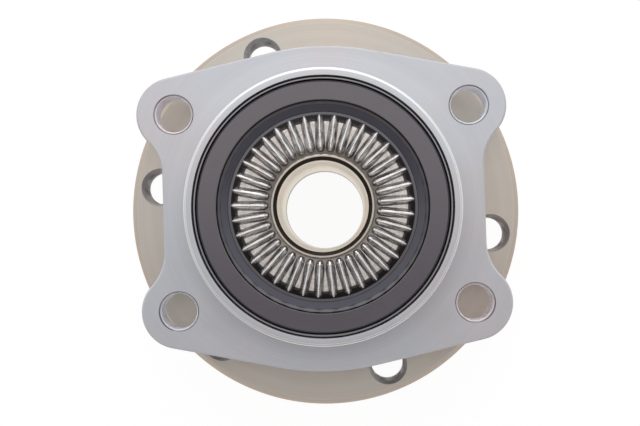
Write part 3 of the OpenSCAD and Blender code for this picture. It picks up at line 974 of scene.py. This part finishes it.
@dataclass
class WheelHub:
    """The turning spindle: wheel flange, pilot, race, rolled collar and the face spline on it."""

    flange_r: float = 75.47
    flange_z: float = 16.0
    edge: float = 1.8
    land_r: float = 33.617
    land_fillet: float = 4.0
    low_r: float = 31.539
    groove_r: float = 6.731
    groove: Point = (37.221, 31.723)
    split_z: float = 44.35
    seat_r: float = 24.539
    ring_end_z: float = 71.0
    collar_r: float = 32.017
    rim_z: float = 77.4
    rim_r: float = 17.85
    rim_edge: tuple[Point, ...] = ((-0.25, 0.0), (-0.08, -0.1), (0.0, -0.35))
    mouth_r: float = 15.8
    mouth_chamfer: float = 1.2
    taper_top_z: float = 66.5
    taper_foot_z: float = 62.0
    bore_r: float = 14.7
    recess_z: float = 21.0
    recess_r: float = 29.0
    recess_cone: Point = (8.0, 6.0)
    recess_edge: float = 1.0
    pilot_r: float = 42.0
    pilot_z: float = -10.0
    pilot_edge: float = 1.5
    back_edge: float = 0.8
    bolt_circle_r: float = 65.0
    bolt_count: int = 6
    bolt_phase_deg: float = 50.3
    bolt_r: float = 7.0
    bolt_core_r: float = 6.3
    bolt_mouth_r: float = 7.5
    bolt_pitch: float = 1.5

    def build(self) -> None:
        """Builds and dresses the spindle."""
        solid = Solid("hub_spindle", [Finish.SPINDLE, Finish.TOOTH, Finish.TAPPED, Finish.BORE])
        for line, finish in self._lines():
            solid.lathe(eased(line), finish)
        rows = FaceSpline().rows()
        inner, outer = rows[0], rows[-1]
        rim = [self._like(inner, self.rim_r + out, self.rim_z + up) for out, up in self.rim_edge]
        solid.grid(rim + [inner], Finish.BORE)
        solid.grid(rows, Finish.TOOTH)
        solid.grid([outer, self._like(outer, self.collar_r, self.ring_end_z)], Finish.TOOTH)
        for i in range(self.bolt_count):
            turn = math.radians(self.bolt_phase_deg + 360.0 * i / self.bolt_count)
            x, y = self.bolt_circle_r * math.cos(turn), self.bolt_circle_r * math.sin(turn)
            hole = Hole(x, y, self.flange_z, 0.0, self.bolt_core_r, self.bolt_mouth_r, self.bolt_pitch, self.bolt_r)
            solid.grid(hole.rows(), Finish.TAPPED)
        for level, finish in ((self.flange_z, None), (0.0, None), (self.rim_z, Finish.BORE), (self.ring_end_z, None)):
            solid.close(level, finish)
        solid.piece("hub", "hub_flange", "spindle_steel")

    @staticmethod
    def _like(ring: Sequence[Vector], r: float, z: float) -> list[Vector]:
        """A level ring with its points at the same bearings as another's.

        Args:
            ring: The other ring.
            r: Its radius.
            z: Its height.

        Returns:
            The points.
        """
        ways = [Vector((point.x, point.y)).normalized() * r for point in ring]
        return [Vector((way.x, way.y, z)) for way in ways]

    def _lines(self) -> list[tuple[list[Point], Optional[Finish]]]:
        """Turned sections of the seat and race, the bore, the recess and pilot, and the wheel flange's edge.

        Returns:
            Points of radius and height, and the finish of each section.
        """
        fillet = self.land_fillet
        seat = arc((self.land_r + fillet, self.flange_z + fillet), fillet, 270, 180, 8)
        start = 180 + math.degrees(math.acos((self.groove[0] - self.land_r) / self.groove_r))
        end = 180 - math.degrees(math.acos((self.groove[0] - self.low_r) / self.groove_r))
        seat += arc(self.groove, self.groove_r, start, end, 14)
        seat += [(self.low_r, self.split_z), (self.seat_r, self.split_z), (self.seat_r, self.ring_end_z)]
        bore = [(self.mouth_r + self.mouth_chamfer, self.rim_z), (self.mouth_r, self.rim_z - self.mouth_chamfer)]
        bore += [(self.mouth_r, self.taper_top_z), (self.bore_r, self.taper_foot_z), (self.bore_r, self.recess_z)]
        pilot = [(self.bore_r, self.recess_z), (self.recess_r - self.recess_cone[0], self.recess_z)]
        pilot += [(self.recess_r, self.recess_z - self.recess_cone[1])]
        pilot += [(self.recess_r, self.pilot_z + self.recess_edge), (self.recess_r + self.recess_edge, self.pilot_z)]
        pilot += [(self.pilot_r - self.pilot_edge, self.pilot_z), (self.pilot_r, self.pilot_z + self.pilot_edge)]
        pilot += [(self.pilot_r, 0.0)]
        wheel = [(self.flange_r - self.back_edge, 0.0), (self.flange_r, self.back_edge)]
        wheel += [(self.flange_r, self.flange_z - self.edge), (self.flange_r - self.edge, self.flange_z)]
        return [(seat, None), (bore, Finish.BORE), (pilot, None), (wheel, None)]


@dataclass
class SealFace:
    """The inboard seal's sheet metal and the encoder rubber moulded on the slinger's web."""

    sleeve_r: float = 33.317
    sheet_t: float = 0.7
    sleeve_end_z: float = 66.1
    lip_z: float = 70.97
    bend_r: float = 35.45
    web_z: float = 71.5
    web_r: float = 43.9
    rubber_in_r: float = 35.55
    rubber_out_r: float = 43.7
    step_r: float = 36.7
    face_z: float = 72.5
    edge: float = 0.3
    case_in_r: float = 36.417
    case_r: float = 45.65
    case_z: float = 65.8
    case_top_z: float = 72.3
    rim_step_z: float = 70.6
    rim_in_r: float = 44.42
    lip_reach: float = 0.27
    sharp_deg: float = 40.0

    def build(self) -> None:
        """Builds and dresses the case, the slinger and the encoder."""
        for name, finish, line, body, node, slot in (
            ("seal_case_pressed", Finish.CASE, self._case_line(), "outer", "inboard_seal_case", "case_steel"),
            ("slinger_pressed", Finish.SLINGER, self._slinger_line(), "hub", "slinger", "slinger_steel"),
            ("encoder_moulded", Finish.ENCODER, self._encoder_line(), "hub", "encoder_ring", "encoder_rubber"),
        ):
            solid = Solid(name, [finish])
            solid.lathe(line)
            solid.piece(body, node, slot, self.sharp_deg)

    def _case_line(self) -> list[Point]:
        """Closed section of the seal's case, whose rim steps in from the bore and leaves a groove outside it.

        Returns:
            Points of radius and height.
        """
        wall_r, step, top = self.case_r - self.sheet_t, self.rim_step_z, self.case_top_z
        rim_r = self.rim_in_r + self.sheet_t
        line = [(self.case_in_r, self.case_z), (self.case_r - 0.2, self.case_z), (self.case_r, self.case_z + 0.2)]
        line += [(self.case_r, step), (rim_r + 0.1, step + 0.45), (rim_r, step + 0.65)]
        line += [(rim_r, top - 0.15), (rim_r - 0.15, top), (self.rim_in_r + 0.15, top), (self.rim_in_r, top - 0.15)]
        line += [(self.rim_in_r, step + 0.25), (wall_r, step - 0.25), (wall_r, self.case_z + self.sheet_t)]
        return line + [(self.case_in_r, self.case_z + self.sheet_t), (self.case_in_r, self.case_z)]

    def _slinger_line(self) -> list[Point]:
        """Closed section of the slinger, from its lip on the inner ring over the shallow funnel and the web.

        Returns:
            Points of radius and height.
        """
        under, low = self.web_z - self.sheet_t, self.sleeve_end_z
        outer, lip_r = self.sleeve_r + self.sheet_t, self.sleeve_r - self.lip_reach
        line = [(lip_r, self.lip_z), (lip_r + 0.1, self.lip_z + 0.22)]
        line += [(self.bend_r - 0.5, self.web_z - 0.1), (self.bend_r, self.web_z - 0.03)]
        line += [(self.bend_r + 0.4, self.web_z), (self.web_r, self.web_z)]
        line += [(self.web_r, under), (self.bend_r + 0.5, under)]
        line += arc((self.bend_r, under - 1.0), 1.0, 90.0, 140.0, 4)
        line += [(outer, under - 1.5), (outer, low), (self.sleeve_r, low), (self.sleeve_r, self.lip_z - 0.55)]
        return line + [(lip_r, self.lip_z)]

    def _encoder_line(self) -> list[Point]:
        """Closed section of the encoder, with a shallow step at its inner edge.

        Returns:
            Points of radius and height.
        """
        top, out, foot = self.face_z, self.rubber_out_r, self.step_r
        line = [(self.rubber_in_r, self.web_z), (self.rubber_in_r, self.web_z + 0.12)]
        line += [(self.rubber_in_r + 0.15, self.web_z + 0.2), (foot - 0.3, top - 0.62), (foot - 0.05, top - 0.52)]
        line += [(foot + 0.1, top - 0.4), (foot + 0.25, top - 0.22), (foot + 0.38, top - 0.08)]
        line += [(foot + 0.5, top - 0.01), (foot + 0.65, top), (foot + 0.9, top), (out - self.edge - 0.2, top)]
        line += [(out - self.edge, top), (out, top - self.edge)]
        return line + [(out, self.web_z), (self.rubber_in_r, self.web_z)]


@dataclass
class Bearing:
    """The CAD nodes that keep their own shape, each with its finish."""

    finishes: tuple[tuple[str, Finish], ...] = (
        ("inner_ring", Finish.SHADED_BEARING),
        ("inboard_seal_lips", Finish.SEAL),
        ("outboard_seal_case", Finish.CASE),
        ("outboard_seal_lips", Finish.SEAL),
        ("inboard_cage", Finish.CAGE),
        ("outboard_cage", Finish.CAGE),
    )

    def build(self) -> None:
        """Dresses the nodes."""
        for name, finish in self.finishes:
            finish.dress(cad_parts[name])
        for name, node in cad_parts.items():
            if "_ball_" in name:
                Finish.BALL.dress(node)


@dataclass
class PhotoCamera:
    """The camera at the photograph's viewing point. Lengths are in millimetres."""

    lens: float = 72.05
    sensor: float = 36.0
    clip_m: Point = (0.01, 20.0)
    distance: float = 516.0
    focal_px: float = 1278.0
    axis_px: Point = (-23.0, 28.0)
    origin_px: Point = (5.7, 1.7)
    roll_deg: float = 1.8

    def build(self) -> None:
        """Creates the camera and makes it the scene's."""
        axis = Vector((*self.axis_px, self.focal_px)).normalized()
        roll = math.radians(self.roll_deg)
        right = Vector((math.cos(roll), math.sin(roll), 0.0))
        right = (right - axis * right.dot(axis)).normalized()
        turn = Matrix((right, axis.cross(right), axis))
        origin = Vector((*self.origin_px, -self.focal_px)) * (self.distance / self.focal_px)
        data = bpy.data.cameras.new("photo_camera")
        data.lens = self.lens
        data.sensor_width = self.sensor
        data.clip_start, data.clip_end = self.clip_m
        camera = bpy.data.objects.new("photo_camera", data)
        bpy.context.scene.collection.objects.link(camera)
        camera.matrix_world = Matrix.Translation(-(turn @ origin) * MM) @ turn.to_4x4()
        bpy.context.scene.camera = camera
        LOG.info("camera at %s", tuple(round(c, 4) for c in camera.location))


@dataclass(frozen=True)
class Lamp:
    """A soft square lamp that looks at the object and that the camera doesn't see. Metres and watts."""

    name: str
    place: tuple[float, float, float]
    size: float
    power: float

    def build(self) -> None:
        """Adds the lamp."""
        data = bpy.data.lights.new(self.name, "AREA")
        data.size = self.size
        data.energy = self.power
        lamp = bpy.data.objects.new(self.name, data)
        bpy.context.scene.collection.objects.link(lamp)
        lamp.location = self.place
        lamp.rotation_mode = "QUATERNION"
        lamp.rotation_quaternion = Vector(self.place).to_track_quat("Z", "Y")
        lamp.visible_camera = False
        LOG.info("%s: %.1f W", self.name, self.power)


@dataclass
class Studio:
    """A pale floor that curves up into a low wall all round, a grey world and soft lamps. Lengths are in metres."""

    floor_z: float = -0.0102
    floor_r: float = 3.0
    bend_r: float = 0.8
    wall_h: float = 1.0
    floor_colour: Colour = (0.88, 0.88, 0.88)
    white_share: float = 0.88
    white_level: float = 1.06
    front_share: float = 0.2
    front_grey: Colour = (0.25, 0.15, 0.11)
    side_grey: Colour = (0.50, 0.50, 0.51)
    back_grey: Colour = (1.20, 1.20, 1.22)
    zenith: Colour = (0.56, 0.56, 0.57)
    front_turn: Point = (0.0, -0.9)
    back_turn: Point = (0.1, 0.9)
    zenith_turn: Point = (0.55, 0.97)
    back_mm: Point = (-600.0, 600.0)
    under_mm: Point = (160.0, 90.0)
    lamps: tuple[Lamp, ...] = (
        Lamp("overhead_panel", (0.0, 0.64, 1.20), 1.4, 3.6),
        Lamp("low_back_panel", (0.0, 1.35, 0.55), 0.7, 2.2),
    )

    def build(self) -> None:
        """Builds the floor, the world and the lamps."""
        self._floor()
        self._world()
        for lamp in self.lamps:
            lamp.build()

    def _floor(self) -> None:
        """Makes the floor and its wall as one turned surface."""
        count, centre = 64, (self.floor_r, self.floor_z + self.bend_r)
        line = [(0.0, self.floor_z)] + arc(centre, self.bend_r, 270, 360, 12)
        line.append((self.floor_r + self.bend_r, self.floor_z + self.wall_h))
        turns = [math.tau * j / count for j in range(count)]
        points = [(r * math.cos(a), r * math.sin(a), z) for r, z in line for a in turns]
        starts = range(0, (len(line) - 1) * count, count)
        steps = [(j, (j + 1) % count) for j in range(count)]
        faces = [(i + j, i + k, i + count + k, i + count + j) for i in starts for j, k in steps]
        mesh = bpy.data.meshes.new("studio_floor")
        mesh.from_pydata(points, [], faces)
        mesh.shade_smooth()
        floor = bpy.data.objects.new("studio_floor", mesh)
        bpy.context.scene.collection.objects.link(floor)
        mesh.materials.append(self._floor_material())
        LOG.info("studio floor at %.3f m", self.floor_z)

    def _floor_material(self) -> bpy.types.Material:
        """Pale floor that camera, mirror and glass rays see as almost white, with the object's shadow on it.

        Returns:
            The finished material.
        """
        graph = SurfaceGraph("studio_white")
        rays = graph.node("ShaderNodeLightPath")
        names = ("Is Camera Ray", "Is Glossy Ray", "Is Transmission Ray")
        camera, glossy, glass = (Sock(graph, rays.outputs[name]) for name in names)
        back = graph.y.step(*self.back_mm)
        under = graph.radius.step(*self.under_mm)
        seen = camera + (glossy + glass) * (back * (1.0 - self.front_share) + self.front_share + under).clamp()
        pale = graph.node("ShaderNodeBsdfDiffuse", None, {"Color": self.floor_colour})
        white = graph.node("ShaderNodeEmission", None, {"Color": (1.0, 1.0, 1.0), "Strength": self.white_level})
        share = seen.clamp() * self.white_share
        both = graph.node("ShaderNodeMixShader", None, {0: share, 1: pale.outputs[0], 2: white.outputs[0]})
        graph.node("ShaderNodeOutputMaterial", None, {"Surface": both.outputs[0]})
        return graph.material

    def _world(self) -> None:
        """Sets a grey world that is pale behind the object and dim in front of it."""
        world = bpy.data.worlds.new("studio_world")
        world.use_nodes = True
        graph = Graph(world.node_tree)
        _, back, height = graph.parts(graph.node("ShaderNodeTexCoord").outputs["Generated"])
        grey = graph.mix(back.step(*self.front_turn), self.side_grey, self.front_grey)
        grey = graph.mix(back.step(*self.back_turn), grey, self.back_grey)
        grey = graph.mix(height.step(*self.zenith_turn), grey, self.zenith)
        light = graph.node("ShaderNodeBackground", None, {"Color": grey, "Strength": 1.0})
        graph.node("ShaderNodeOutputWorld", None, {"Surface": light.outputs[0]})
        bpy.context.scene.world = world


def main() -> None:
    """Builds the camera, the studio and each sub-assembly in order."""
    logging.basicConfig(level=logging.INFO, format="%(name)s: %(message)s")
    bpy.context.scene.view_settings.view_transform = "Standard"
    PhotoCamera().build()
    Studio().build()
    OuterRing().build()
    WheelHub().build()
    SealFace().build()
    Bearing().build()


if __name__ == "__main__":
    main()
